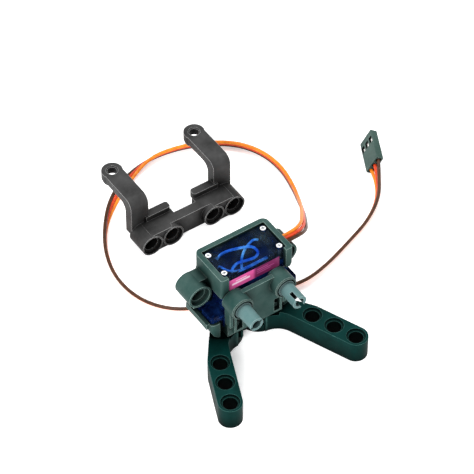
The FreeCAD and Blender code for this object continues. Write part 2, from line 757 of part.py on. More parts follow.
def inner_wires():
    """Three thin wires that arch over the circuit board, one of them in a wide loop."""
    above = Vector(cell("servo_x"), 0, cell("servo_top"))
    routes = (
        (0.9, [(-7.1, 4.3, -3.5), (-5.9, 4.2, -2.0), (-3.6, 3.9, -1.55), (-0.6, 3.1, -1.55),
               (2.2, 2.2, -1.55), (4.2, 0.9, -1.55), (4.3, -2.0, -1.55), (2.2, -3.2, -1.55),
               (-0.8, -2.7, -1.55),
               (-3.7, -1.9, -1.6), (-5.6, -2.3, -2.3), (-6.4, -2.7, -3.5)]),
        (0.8, [(8.0, 4.0, -3.4), (6.4, 4.1, -2.6), (3.7, 3.3, -2.6), (1.4, 1.9, -2.6), (-0.5, 0.2, -2.6),
               (-1.9, -1.6, -2.6), (-3.0, -3.2, -2.7), (-3.4, -3.9, -3.4)]),
        (0.7, [(-8.2, 1.4, -3.5), (-8.4, 0.2, -2.5), (-7.6, -2.4, -2.4), (-5.0, -4.1, -2.6),
               (-0.8, -4.3, -2.6),
               (3.6, -4.2, -2.6), (6.2, -3.6, -3.4)]),
    )
    shapes = []
    for diameter, route in routes:
        tube, _, _ = wire_tube([above + Vector(*point) for point in route], diameter)
        shapes.append(tube)
    keep(solid("inner_wires_shape", Part.makeCompound(shapes)), "inner_wires")


def train_level(level):
    """The underside of a gear on one of the four levels, counted from the motor's."""
    return cell("train_top") - cell("gear_thick") - (level - 1) * cell("gear_step")


def cluster(large_teeth, level, bore):
    """A wheel and the pinion under it, moulded as one, with a bore on the axle."""
    module, thick = cell("fine_module"), cell("gear_thick")
    teeth = int(large_teeth)
    slack = 0.035
    tip = module * teeth / 2 + 0.5 * module - 0.03
    phase = 180.0 if teeth % 2 else 0.0
    wheel = gear_prism(module, teeth, -0.5, phase, thick, train_level(level), tip, slack)
    drop = cell("gear_step")
    pinions = int(cell("pinion_teeth"))
    pinion_tip = module * pinions / 2 + 1.5 * module - 0.06
    low = train_level(level + 1)
    pinion = gear_prism(module, pinions, 0.5, 180.0 / pinions, drop, low, pinion_tip, slack)
    hole = Part.makeCylinder(bore, 6, Vector(0, 0, low - 1))
    return wheel.fuse(pinion).cut(hole)


def gear_train():
    """Motor pinion, three gear clusters, their axle and the output gear with its shaft."""
    module, thick = cell("fine_module"), cell("gear_thick")
    pinions = int(cell("pinion_teeth"))
    bush = cell("seat_rad") + 0.03
    pinion_tip = module * pinions / 2 + 1.5 * module - 0.06
    pinion = gear_prism(module, pinions, 0.5, 180.0 / pinions, thick + 0.1, train_level(1), pinion_tip, 0.035)
    rotor = Part.makeCylinder(cell("seat_rad"), 8, Vector(0, 0, train_level(1)))
    keep(solid("pinion_shape", pinion.fuse(rotor), MOTOR_X), "motor_pinion")
    keep(solid("first_shape", cluster(cell("first_teeth"), 1, bush), IDLER_X), "first_gear")
    keep(solid("second_shape", cluster(cell("wheel_teeth"), 2, 0.8), "pivot_x"), "second_gear")
    keep(solid("third_shape", cluster(cell("wheel_teeth"), 3, bush), IDLER_X), "third_gear")
    axle = rod("axle_rod", "seat_rad", "z", IDLER_X, "0", ("case_end + 0.05", "train_top + 0.75"))
    keep(axle, "gear_axle")
    teeth = int(cell("wheel_teeth"))
    tip = module * teeth / 2 + 0.5 * module - 0.03
    wheel = gear_prism(module, teeth, -0.5, 0.0, thick, train_level(4), tip, 0.035)
    spline = [
        Vector(cell("spline_rad") * (1 if k % 2 else 0.93) * math.cos(math.pi * k / 21),
               cell("spline_rad") * (1 if k % 2 else 0.93) * math.sin(math.pi * k / 21), cell("spline_end"))
        for k in range(42)
    ]
    splined = Part.Face(Part.makePolygon(spline + spline[:1])).extrude(Vector(0, 0, 3.2))
    neck_low = cell("spline_end") + 3.2
    neck = Part.makeCylinder(cell("spline_rad"), train_level(4) - neck_low + 0.1, Vector(0, 0, neck_low))
    stem = Part.makeCylinder(0.76, cell("train_top") + 3.6 - train_level(4), Vector(0, 0, train_level(4)))
    pilot = Part.makeCylinder(0.9, 5.6, Vector(0, 0, cell("spline_end") - 1))
    keep(solid("output_shape", wheel.fuse([splined, neck, stem]).cut(pilot), "pivot_x"), "output_gear")
    collar = cut(
        "bush_cut",
        rod("bush_ring", "spline_rad + 0.6", "z", "pivot_x", "0", ("turret_end", "case_end + skin")),
        rod("bush_bore", "spline_rad + 0.05", "z", "pivot_x", "0", ("0", "servo_top")),
    )
    keep(collar, "output_bush")


# ---------------------------------------------------------------- jaws

def jaw_body(side):
    """The arm, hub and gear teeth of one jaw about its own pivot. side is -1 for the left jaw."""
    tilt = math.radians(cell("jaw_angle"))
    half, pitch, thick = cell("jaw_half"), cell("brick_pitch"), cell("jaw_thick")
    hub, small = cell("hub_rad"), 3.4
    line = Vector(-math.sin(tilt), -math.cos(tilt), 0)
    outward = Vector(-math.cos(tilt), math.sin(tilt), 0)
    first = Vector(-cell("jaw_first_x"), -cell("jaw_first_y"), 0)
    last = first + line * (2 * pitch)
    knee = first + outward * half - line
    tip_out = last + (outward + line) * half
    tip_in = last + (line - outward) * half
    inner = first - outward * half
    crook = inner - line * ((-hub - inner.y) / -line.y)
    reach = math.atan2(knee.y, knee.x) - math.acos(small / knee.Length)
    tangent = Vector(small * math.cos(reach), small * math.sin(reach), 0)
    corners = [
        (tangent.x, tangent.y, 0), (knee.x, knee.y, 8), (tip_out.x, tip_out.y, half - 0.01),
        (tip_in.x, tip_in.y, half - 0.01), (crook.x, crook.y, 7), (0.9, -hub, 0), (2, 0, 0), (0.8, 2.8, 0),
    ]
    arm = rounded_outline(corners, thick)
    disc = Part.makeCylinder(hub, cell("hub_high")).common(Part.makeBox(20, 20, 20, Vector(-0.5, -10, -1)))
    boss = Part.makeCylinder(small, cell("hub_high"))
    shape = arm.fuse([disc, boss])
    shape = shape.cut(Part.makeCylinder(hub + 1.8, 5, Vector(0, 0, cell("hub_high"))))
    toothed_low, toothed_high = -68, 48
    ring_low, ring_high = cell("disc_high"), cell("hub_high")
    module, teeth = cell("jaw_module"), int(cell("jaw_teeth"))
    clearing = wedge(toothed_low - 4, toothed_high + 4, 12, ring_low, 10)
    shape = shape.cut(clearing.cut(Part.makeCylinder(module * (teeth / 2 - 1.2), 20)))
    phase = 180.0 / teeth if side < 0 else 0.0
    tip = module * (teeth / 2 + 0.88)
    gear = gear_prism(module, teeth, 0, phase, ring_high - ring_low - 0.2, ring_low + 0.2, tip, 0.12)
    shape = shape.fuse(gear.common(wedge(toothed_low, toothed_high, 12, ring_low, 10)))
    for k in range(3):
        spot = first + line * (pitch * k)
        for radius, base, height in (
            (cell("bore_rad"), -1, thick + 2),
            (cell("sink_rad"), -1, 1 + cell("sink_depth")),
            (cell("sink_rad"), thick - cell("sink_depth"), 2),
        ):
            shape = shape.cut(Part.makeCylinder(radius, height, Vector(spot.x, spot.y, base)))
    if side > 0:
        shape = shape.mirror(Vector(), Vector(1, 0, 0))
    return shape.removeSplitter()


def jaws():
    """The two jaws, the left one on a pivot screw and the right one on the servo's shaft."""
    left = jaw_body(-1)
    left = left.cut(Part.makeCylinder(cell("pivot_boss_rad") + 0.05, 20, Vector(0, 0, -1)))
    left = left.cut(Part.makeCylinder(3.35, 2.2, Vector(0, 0, -1)))
    keep(solid("left_jaw_shape", left, "-pivot_x"), "left_jaw")
    right = jaw_body(1)
    right = right.cut(Part.makeCylinder(cell("spline_rad"), 20, Vector(0, 0, cell("spline_end") - 0.3)))
    right = right.cut(Part.makeCylinder(1.15, 20, Vector(0, 0, -1)))
    right = right.cut(Part.makeCylinder(2.2, 2.6, Vector(0, 0, -1)))
    keep(solid("right_jaw_shape", right, "pivot_x"), "right_jaw")
    screws = (
        ("pivot_screw", "-pivot_x", 3.1, "0.25", "1.1", 1.0, "7.2"),
        ("horn_screw", "pivot_x", 2.0, "0.4", "1.55", 0.9, "8.2"),
    )
    for word, x, head, low, high, shank, end in screws:
        screw = cut(
            f"{word}_cut",
            fuse(
                f"{word}_fuse",
                rod(f"{word}_head", str(head), "z", x, "0", (low, high)),
                rod(f"{word}_shank", str(shank), "z", x, "0", (low, end)),
            ),
            block(f"{word}_slot", (f"{x} - 1.1", f"{x} + 1.1"), ("-0.22", "0.22"), ("-1", f"{low} + 0.5")),
            block(f"{word}_cross", (f"{x} - 0.22", f"{x} + 0.22"), ("-1.1", "1.1"), ("-1", f"{low} + 0.5")),
        )
        keep(screw, word)


# ---------------------------------------------------------------- bracket

def bracket_end(word, side):
    """One end of the bracket: two barrels with their web, a hook lip and a cranked arm with an eye."""
    inner = f"bracket_x + {side} * brick_pitch"
    outer = f"bracket_x + {side} * 2 * brick_pitch"
    barrels = [
        rod(f"{word}_barrel_{k}", "barrel_rad", "y", x, "barrel_rad", ("bracket_y", "bracket_y + barrel_len"))
        for k, x in enumerate((inner, outer))
    ]
    web_x = (outer, inner) if side < 0 else (inner, outer)
    web = block(f"{word}_web", web_x, ("bracket_y + 0.5", "bracket_y + barrel_len - 0.2"), BRACKET_FLAT)
    shoulder_x = (inner, f"bracket_x + {side} * 4.2")
    shoulder = block(f"{word}_shoulder", shoulder_x[::-side],
                     ("bracket_y + deck_front", "bracket_y + barrel_len - 0.2"), BRACKET_FLAT)
    lip_x = [f"bracket_x + {side} * {reach}" for reach in ("lip_inner", "lip_outer")]
    lip = rounded(
        f"{word}_lip_round",
        block(f"{word}_lip", lip_x[::side], ("bracket_y + lip_front", "bracket_y + lip_back"),
              ("2 * barrel_rad - 0.6", "2 * barrel_rad + lip_high")),
        (1.0, along("z", x=[cell("bracket_x") + side * cell("lip_inner")])),
    )
    arm_x = (f"{outer} - arm_wide / 2", f"{outer} + arm_wide / 2")
    crank = rounded(
        f"{word}_crank_round",
        fuse(
            f"{word}_crank",
            block(f"{word}_riser", arm_x, ("bracket_y + riser_front", "bracket_y + riser_back"),
                  ("barrel_rad", "arm_high")),
            block(f"{word}_reach", arm_x, ("bracket_y + riser_front + 0.5", "bracket_y + eye_reach"),
                  ("arm_high - arm_thick", "arm_high")),
        ),
        (3.0, along("x", y=[cell("bracket_y") + cell("riser_front")], z=[cell("arm_high")])),
        (2.8, along("x", y=[cell("bracket_y") + cell("riser_back")],
                    z=[cell("arm_high") - cell("arm_thick")])),
    )
    eye_y = "bracket_y + eye_reach"
    eye = rod(f"{word}_eye", "eye_rad", "z", outer, eye_y, ("arm_high - arm_thick", "arm_high"))
    bush = rod(f"{word}_eye_bush", "eye_rad - 0.3", "z", outer, eye_y,
               ("arm_high - eye_deep", "arm_high - 1"))
    arm = fuse(f"{word}_arm", crank, eye, bush)
    tools = [
        rod(f"{word}_eye_bore", "eye_bore", "z", outer, eye_y, ("0", "arm_high + 1")),
        rod(f"{word}_eye_sink", "eye_bore + 0.4", "z", outer, eye_y, ("arm_high - 0.3", "arm_high + 1")),
        rod(f"{word}_eye_recess", "head_room", "z", outer, eye_y, ("0", "arm_high - eye_plate")),
    ]
    for k, x in enumerate((inner, outer)):
        tools += brick_bore(f"{word}_bracket_{k}", x, "barrel_rad", "bracket_y", "bracket_sink")
    block_end = fuse(f"{word}_block", *barrels, web, shoulder)
    return cut(f"{word}_end", fuse(f"{word}_end_fuse", block_end, lip, arm, refine=False), *tools)


def bracket():
    """The two ends and the beam between them."""
    beam = block("beam", ("bracket_x - brick_pitch + bore_rad + 1", "bracket_x + brick_pitch - bore_rad - 1"),
                 ("bracket_y + deck_front", "bracket_y + beam_back"), BRACKET_FLAT)
    whole = fuse("bracket_fuse", bracket_end("left", -1), beam, bracket_end("right", 1), refine=False)
    return keep(whole, "mounting_bracket")


# ---------------------------------------------------------------- lead

def lead_points(index):
    """The route of one wire: 0 is brown, 1 is red in the middle and 2 is orange."""
    centres = [Vector(*p[:3]) for p in LEAD_ROUTE]
    points = []
    for i, centre in enumerate(centres):
        before, after = centres[max(i - 1, 0)], centres[min(i + 1, len(centres) - 1)]
        run = (after - before).normalize()
        left = Vector(-run.y, run.x, 0).normalize()
        turn = math.radians(LEAD_ROUTE[i][3])
        side = left * math.cos(turn) + run.cross(left) * math.sin(turn)
        apart = cell("plug_pitch") if i >= len(centres) - LEAD_SPREAD_POINTS else cell("wire_pitch")
        points.append(centre + side * (apart * (index - 1)))
    return points


def lead():
    """The three wires of the lead, one sub-part each."""
    for index, label in enumerate(("brown_wire", "red_wire", "orange_wire")):
        points = lead_points(index)
        tube, length, tight = wire_tube(points, cell("wire_dia"))
        section = math.pi * (cell("wire_dia") / 2) ** 2
        low = tube.BoundBox.ZMin
        print(f"{label}: length {length:.1f}, tightest arc {tight:.1f}, volume {tube.Volume:.1f}"
              f" of {section * length:.1f}, lowest {low:.2f}, valid {tube.isValid()}")
        keep(solid(f"{label}_shape", tube), label)


def lead_grommet():
    """The tapered block that holds the lead where it leaves the servo."""
    x_end, middle_y, middle_z, _ = LEAD_ROUTE[0]
    x_start = cell("servo_x") + cell("servo_len") / 2
    ends = []
    for x, half_wide, half_high in ((x_start, 2.1, 0.8), (x_end, 1.9, 0.62)):
        corners = [
            Vector(x, middle_y + i * half_wide, middle_z + j * half_high)
            for i, j in ((-1, -1), (1, -1), (1, 1), (-1, 1))
        ]
        ends.append(Part.makePolygon(corners + corners[:1]))
    keep(solid("grommet_shape", Part.makeLoft(ends, True, True)), "lead_grommet")


def plug():
    """The three-way socket on the end of the lead, with a contact behind each window."""
    long_, wide, high = cell("plug_len"), cell("plug_wide"), cell("plug_thick")
    pitch = cell("plug_pitch")
    shell = Part.makeBox(long_, wide, high, Vector(0, -wide / 2, -high / 2))
    shell = shell.makeFillet(0.25, [e for e in shell.Edges if along("x")(e)])
    contacts = []
    for k in (-1, 0, 1):
        middle = k * pitch
        shell = shell.cut(Part.makeBox(long_ + 2, 1.7, 1.7, Vector(-1, middle - 0.85, -0.85)))
        shell = shell.cut(Part.makeBox(2.6, 1.8, 2, Vector(long_ * 0.62, middle - 0.9, 0)))
        blade = Part.makeBox(long_ - 2.2, 1.5, 1.5, Vector(1.2, middle - 0.75, -0.75))
        blade = blade.cut(Part.makeBox(long_, 0.8, 0.8, Vector(long_ * 0.45, middle - 0.4, -0.4)))
        contacts.append(blade)
    rear = LEAD_ROUTE[-1][:3]
    turn = Rotation(Vector(0, 0, 1), PLUG_HEADING).multiply(Rotation(Vector(1, 0, 0), -PLUG_ROLL))
    for word, shape in (("plug_housing", shell), ("plug_contacts", Part.makeCompound(contacts))):
        keep(solid(f"{word}_shape", shape, *rear, turn), word)


rear_housing()
front_cover()
lower_housing()
connector_pins()
servo_case()
servo_bottom_cover()
servo_gear_cover()
servo_screws()
servo_label()
servo_electronics()
inner_wires()
gear_train()
jaws()
bracket()
lead()
lead_grommet()
plug()

doc.recompute()
failed = [obj.Name for obj in doc.Objects if {"Invalid", "Error"} & set(obj.State)]
if failed:
    raise RuntimeError(f"objects that failed: {failed}")
os.makedirs("parts", exist_ok=True)
for node in nodes:
    if node.Shape.isNull() or not node.Shape.isValid():
        raise RuntimeError(f"{node.Label} has no valid shape")
for node in nodes:
    node.Shape.exportStep(f"parts/{node.Label}.step")
    box = node.Shape.BoundBox
    print(f"{node.Label}: {len(node.Shape.Solids)} solid(s), {node.Shape.Volume:.2f} mm3, "
          f"x {box.XMin:.1f} {box.XMax:.1f}, y {box.YMin:.1f} {box.YMax:.1f}, "
          f"z {box.ZMin:.1f} {box.ZMax:.1f}")
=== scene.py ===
"""Looks for the servo gripper: materials, the soft lead, the light and the camera."""
import math

import bpy
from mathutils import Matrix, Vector


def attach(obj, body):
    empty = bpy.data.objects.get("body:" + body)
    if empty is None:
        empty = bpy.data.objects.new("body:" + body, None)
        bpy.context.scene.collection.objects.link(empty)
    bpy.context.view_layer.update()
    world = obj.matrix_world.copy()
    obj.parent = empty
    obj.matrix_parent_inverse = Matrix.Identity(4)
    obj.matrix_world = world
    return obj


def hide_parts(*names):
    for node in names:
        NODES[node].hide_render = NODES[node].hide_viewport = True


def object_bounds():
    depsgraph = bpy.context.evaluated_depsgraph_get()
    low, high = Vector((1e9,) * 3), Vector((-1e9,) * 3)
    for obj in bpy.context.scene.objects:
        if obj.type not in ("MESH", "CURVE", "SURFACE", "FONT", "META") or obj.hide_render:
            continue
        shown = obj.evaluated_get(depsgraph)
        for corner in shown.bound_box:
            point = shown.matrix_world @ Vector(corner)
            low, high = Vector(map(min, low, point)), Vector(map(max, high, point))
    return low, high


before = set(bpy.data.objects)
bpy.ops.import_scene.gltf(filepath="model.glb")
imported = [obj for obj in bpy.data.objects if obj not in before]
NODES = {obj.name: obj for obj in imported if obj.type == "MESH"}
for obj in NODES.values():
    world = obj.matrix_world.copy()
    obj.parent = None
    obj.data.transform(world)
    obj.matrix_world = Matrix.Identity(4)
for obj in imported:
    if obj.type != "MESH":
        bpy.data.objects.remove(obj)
cad_low, cad_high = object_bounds()
MM = 0.001

# ---------------------------------------------------------------- lead

WIRE_DIAMETER = 1.15 * MM
WIRE_PITCH = 1.3 * MM
PLUG_PITCH = 2.54 * MM

# The middle of the flat lead in millimetres, and how far the lead is turned about its run in degrees.
LEAD_ROUTE = [
    (15.3, -0.4, 30.3, 0),
    (20.9, -0.4, 30.3, 0),
    (26.6, 3.2, 26.8, 45),
    (32.6, 11.6, 20.2, 62),
    (38.6, 20.4, 12.4, 70),
    (43.8, 29.4, 5.4, 79),
    (47.8, 38.6, 2.2, 84),
    (49.8, 48.0, 1.9, 80),
    (48.9, 57.4, 1.85, 71),
    (44.4, 66.0, 1.8, 65),
    (36.4, 72.0, 1.8, 64),
    (26.6, 76.0, 1.75, 62),
    (15.6, 77.2, 1.75, 60),
    (5.0, 74.0, 0.85, 8),
    (-4.8, 67.6, 1.5, -42),
    (-13.6, 58.8, 1.9, -90),
    (-20.0, 47.8, 1.9, -80),
    (-22.8, 36.0, 1.8, -67),
    (-21.0, 24.6, 1.7, -55),
    (-14.6, 15.6, 1.6, -48),
    (-4.4, 10.8, 1.6, -50),
    (6.6, 9.4, 1.6, -50),
    (17.0, 4.8, 1.6, -50),
    (26.6, 2.2, 1.7, -54),
    (37.0, 4.2, 1.75, -61),
    (48.1, 8.2, 1.8, -63),
    (58.9, 12.2, 1.9, -68),
    (67.6, 17.9, 2.6, -75),
    (72.5, 24.8, 3.8, -72),
    (75.2, 30.2, 4.0, -64),
]


def lead_points(index):
    """The route of one wire, in metres: 0 is brown, 1 is red in the middle and 2 is orange."""
    centres = [Vector(stop[:3]) * MM for stop in LEAD_ROUTE]
    points = []
    for i, centre in enumerate(centres):
        run = (centres[min(i + 1, len(centres) - 1)] - centres[max(i - 1, 0)]).normalized()
        left = Vector((-run.y, run.x, 0)).normalized()
        turn = math.radians(LEAD_ROUTE[i][3])
        side = left * math.cos(turn) + run.cross(left) * math.sin(turn)
        apart = PLUG_PITCH if i == len(centres) - 1 else WIRE_PITCH
        points.append(centre + side * (apart * (index - 1)))
    return points


def wire(name, index):
    """One wire of the lead: a smooth curve through the same route as its CAD tube."""
    curve = bpy.data.curves.new(name, "CURVE")
    curve.dimensions = "3D"
    # The tube's radius is this depth times each point's radius, so the points carry the wire's real radius.
    curve.bevel_depth = 1.0
    curve.bevel_resolution = 6
    curve.resolution_u = 16
    curve.use_fill_caps = True
    points = lead_points(index)
    spline = curve.splines.new("NURBS")
    spline.points.add(len(points) - 1)
    for target, point in zip(spline.points, points):
        target.co = (*point, 1)
        target.radius = WIRE_DIAMETER / 2
    spline.order_u = 3
    spline.use_endpoint_u = True
    obj = bpy.data.objects.new(name, curve)
    bpy.context.scene.collection.objects.link(obj)
    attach(obj, "housing")
    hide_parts(name.replace("_insulation", "_wire"))
    return obj, points


# ---------------------------------------------------------------- materials

EDGE_RADIUS = 0.28 * MM
EDGE_SAMPLES = 6
RECESS_SAMPLES = 8
# The painted shade deep in a recess, as a share of the dark colour.
PAINTED_SHADE_SHARE = 0.08

# The cosine between the true and the rounded normal, on a flat face and on an edge with the full painted
# highlight.
FLAT_TO_EDGE = (0.995, 0.80)

# How much of the surroundings is open, deep in a recess and on an outer face, which sets the painted shade.
RECESS_TO_OPEN = (0.40, 0.97)

GRAIN_STRENGTH = 0.27
GRAIN_DEPTH = 0.03 * MM
CLEAR_IOR = 1.1
CLEAR_SHINE = 0.2
JACKET_SHINE = 0.2

LABEL_LEFT = min(corner[0] for corner in NODES["servo_label"].bound_box)
LABEL_RIGHT = max(corner[0] for corner in NODES["servo_label"].bound_box)
LABEL_ROUGHNESS = 0.28
PRINT_BLUR = 0.08 * MM
PINK_LEFT = (0.76, 0.12, 0.36)
PINK_RIGHT = (0.72, 0.10, 0.33)
MAGENTA_LEFT = (0.17, 0.017, 0.08)
MAGENTA_RIGHT = (0.20, 0.022, 0.10)
PALE_PRINT = (1.0, 0.72, 0.86)
FAINT_PRINT = (0.50, 0.10, 0.30)

# Left, right, bottom and top of each printed bar in millimetres, and its colour.
LABEL_BARS = [
    (-7.0, -0.4, 28.5, 29.3, PALE_PRINT),
    (-5.6, -1.6, 29.7, 30.0, PALE_PRINT),
    (2.2, 6.4, 29.9, 30.2, FAINT_PRINT),
    (2.2, 8.6, 29.1, 29.4, FAINT_PRINT),
    (2.2, 7.4, 28.3, 28.6, FAINT_PRINT),
]


def shader(name):
    """A new node material. Returns the material, its node tree and its main shader."""
    mat = bpy.data.materials.new(name)
    mat.use_nodes = True
    tree = mat.node_tree
    return mat, tree, tree.nodes["Principled BSDF"]


def node(tree, kind, links=(), **values):
    """A node with its links, each (input, socket), and its values, where _ stands for an input's space."""
    made = tree.nodes.new(kind)
    for key, value in values.items():
        made.inputs[key.replace("_", " ")].default_value = value
    for key, socket in links:
        tree.links.new(socket, made.inputs[key])
    return made


def position(tree):
    """Object coordinates, which are metres in the row frame on every CAD node."""
    return tree.nodes.new("ShaderNodeTexCoord").outputs["Object"]


def noise(tree, where, scale, detail, roughness=0.5):
    """Cloudy noise about 0.5, with a scale in waves per metre."""
    made = node(tree, "ShaderNodeTexNoise", [("Vector", where)], Scale=scale, Detail=detail,
                Roughness=roughness)
    return made.outputs["Fac"]


def ramp(tree, factor, *stops):
    """A colour ramp through (place, colour) stops."""
    made = tree.nodes.new("ShaderNodeValToRGB")
    elements = made.color_ramp.elements
    while len(elements) < len(stops):
        elements.new(0.5)
    for element, (place, colour) in zip(elements, stops):
        element.position = place
        element.color = (*colour, 1)
    tree.links.new(factor, made.inputs["Fac"])
    return made.outputs["Color"]


def spread(tree, value, source, target=(0, 1)):
    """A value taken linearly from one range to another and held inside the second."""
    made = node(tree, "ShaderNodeMapRange", [("Value", value)], From_Min=source[0], From_Max=source[1],
                To_Min=target[0], To_Max=target[1])
    return made.outputs["Result"]


def product(tree, first, second):
    """Two values multiplied."""
    made = tree.nodes.new("ShaderNodeMath")
    made.operation = "MULTIPLY"
    tree.links.new(first, made.inputs[0])
    tree.links.new(second, made.inputs[1])
    return made.outputs["Value"]


def within(tree, value, low, high):
    """1 where a value lies between two limits and 0 outside them, with slightly soft ends."""
    above = spread(tree, value, (low - PRINT_BLUR, low + PRINT_BLUR))
    below = spread(tree, value, (high + PRINT_BLUR, high - PRINT_BLUR))
    return product(tree, above, below)


def mixed(tree, factor, first, second):
    """A blend of two colours, each a socket or a fixed colour."""
    made = tree.nodes.new("ShaderNodeMix")
    made.data_type = "RGBA"
    tree.links.new(factor, made.inputs["Factor"])
    colour_inputs = [entry for entry in made.inputs if entry.type == "RGBA"]
    for entry, value in zip(colour_inputs, (first, second)):
        if isinstance(value, tuple):
            entry.default_value = (*value, 1)
        else:
            tree.links.new(value, entry)
    return next(output for output in made.outputs if output.type == "RGBA")


def edge_mask(tree):
    """How far the surface turns nearby, 0 on a flat face and 1 along an edge, and a normal softened there."""
    bevel = node(tree, "ShaderNodeBevel", Radius=EDGE_RADIUS)
    bevel.samples = EDGE_SAMPLES
    plain = tree.nodes.new("ShaderNodeNewGeometry").outputs["Normal"]
    dot = tree.nodes.new("ShaderNodeVectorMath")
    dot.operation = "DOT_PRODUCT"
    tree.links.new(bevel.outputs["Normal"], dot.inputs[0])
    tree.links.new(plain, dot.inputs[1])
    return spread(tree, dot.outputs["Value"], FLAT_TO_EDGE), bevel.outputs["Normal"]


def openness(tree, reach):
    """How open the surroundings are: 0 deep in a hollow and 1 on an outer face, the mask of the painted
    shade.
    """
    around = node(tree, "ShaderNodeAmbientOcclusion", Distance=reach)
    around.samples = RECESS_SAMPLES
    return spread(tree, around.outputs["AO"], RECESS_TO_OPEN)


def raise_surface(tree, bsdf, height, strength, depth, normal=None):
    """Bumps a shader's surface by a height value, on top of another normal where one is given."""
    bump = node(tree, "ShaderNodeBump", [("Height", height)], Strength=strength, Distance=depth)
    if normal:
        tree.links.new(normal, bump.inputs["Normal"])
    tree.links.new(bump.outputs["Normal"], bsdf.inputs["Normal"])


def moulded(name, dark, light, edge, rough, edge_share=0.6, shine=0.05, reach=3.5):
    """Moulded plastic: mottled colour, soft edges with a painted highlight, a fine grain and painted shade in
    hollows.

    edge_share is how much of the painted edge highlight shows on a corner. reach is how far away, in
    millimetres, a neighbouring wall still adds painted shade to the surface.
    """
    mat, tree, bsdf = shader(name)
    where = position(tree)
    mottle = noise(tree, where, scale=160, detail=4, roughness=0.6)
    flow = noise(tree, where, scale=900, detail=3, roughness=0.55)
    grain = noise(tree, where, scale=5200, detail=2)
    base = ramp(tree, mottle, (0.32, dark), (0.72, light))
    mask, soft_normal = edge_mask(tree)
    # Painted highlight: the edge colour, lighter than the plastic, is laid along corners and edges where
    # light catches them.
    painted_edge_highlight = product(tree, mask, spread(tree, flow, (0, 1), (0.25 * edge_share, 1.25 * edge_share)))
    with_edge_highlight = mixed(tree, painted_edge_highlight, base, edge)
    # Painted shade: near walls and in recesses the colour is darkened towards a near-black copy of the dark
    # colour.
    painted_recess_shade = tuple(channel * PAINTED_SHADE_SHARE for channel in dark)
    tree.links.new(mixed(tree, openness(tree, reach * MM), painted_recess_shade, with_edge_highlight), bsdf.inputs["Base Color"])
    tree.links.new(spread(tree, flow, (0, 1), (rough - 0.1, rough + 0.12)), bsdf.inputs["Roughness"])
    raise_surface(tree, bsdf, grain, GRAIN_STRENGTH, GRAIN_DEPTH, soft_normal)
    bsdf.inputs["Specular IOR Level"].default_value = shine
    return mat


def clear_blue(name, tint, pale, rough, clearness):
    """Tinted see-through plastic, cloudy in patches whose paler colour is partly a painted reflection, and
    with faint flow lines.
    """
    mat, tree, bsdf = shader(name)
    where = position(tree)
    flow = noise(tree, where, scale=420, detail=3)
    cloud_and_reflection = noise(tree, where, scale=260, detail=5, roughness=0.65)
    # The paler patches are partly real cloudiness and partly painted reflections in the clear plastic.
    tree.links.new(ramp(tree, cloud_and_reflection, (0.42, tint), (0.72, pale)), bsdf.inputs["Base Color"])
    tree.links.new(spread(tree, flow, (0, 1), (rough * 0.6, rough * 1.4)), bsdf.inputs["Roughness"])
    raise_surface(tree, bsdf, flow, strength=0.12, depth=0.05 * MM)
    bsdf.inputs["Transmission Weight"].default_value = clearness
    bsdf.inputs["IOR"].default_value = CLEAR_IOR
    bsdf.inputs["Specular IOR Level"].default_value = CLEAR_SHINE
    return mat


def metal(name, colour, rough):
    """Plated or drawn metal with fine marks across it."""
    mat, tree, bsdf = shader(name)
    stretch = node(tree, "ShaderNodeMapping", [("Vector", position(tree))], Scale=(1, 1, 8))
    marks = noise(tree, stretch.outputs["Vector"], scale=1800, detail=3)
    darker = tuple(channel * 0.72 for channel in colour)
    tree.links.new(ramp(tree, marks, (0.3, darker), (0.7, colour)), bsdf.inputs["Base Color"])
    tree.links.new(spread(tree, marks, (0, 1), (rough - 0.08, rough + 0.12)), bsdf.inputs["Roughness"])
    raise_surface(tree, bsdf, marks, strength=0.15, depth=0.01 * MM)
    bsdf.inputs["Metallic"].default_value = 1.0
    return mat


def insulation(name, colour, shade):
    """Soft extruded wire jacket, slightly uneven and dusty."""
    mat, tree, bsdf = shader(name)
    streak = noise(tree, position(tree), scale=700, detail=3)
    tree.links.new(ramp(tree, streak, (0.3, shade), (0.7, colour)), bsdf.inputs["Base Color"])
    tree.links.new(spread(tree, streak, (0, 1), (0.32, 0.5)), bsdf.inputs["Roughness"])
    raise_surface(tree, bsdf, streak, strength=0.2, depth=0.02 * MM)
    bsdf.inputs["Specular IOR Level"].default_value = JACKET_SHINE
    return mat


def printed_label(name):
    """A glossy sticker: bright pink on the left with plain pale bars, and deep magenta on the right."""
    mat, tree, bsdf = shader(name)
    axes = node(tree, "ShaderNodeSeparateXYZ", [("Vector", position(tree))])
    along = spread(tree, axes.outputs["X"], (LABEL_LEFT, LABEL_RIGHT))
    colour = ramp(tree, along, (0.0, PINK_LEFT), (0.47, PINK_RIGHT),
                  (0.53, MAGENTA_LEFT), (1.0, MAGENTA_RIGHT))
    for left, right, low, high, print_colour in LABEL_BARS:
        across = within(tree, axes.outputs["X"], left * MM, right * MM)
        upward = within(tree, axes.outputs["Z"], low * MM, high * MM)
        colour = mixed(tree, product(tree, across, upward), colour, print_colour)
    tree.links.new(colour, bsdf.inputs["Base Color"])
    bsdf.inputs["Roughness"].default_value = LABEL_ROUGHNESS
    return mat


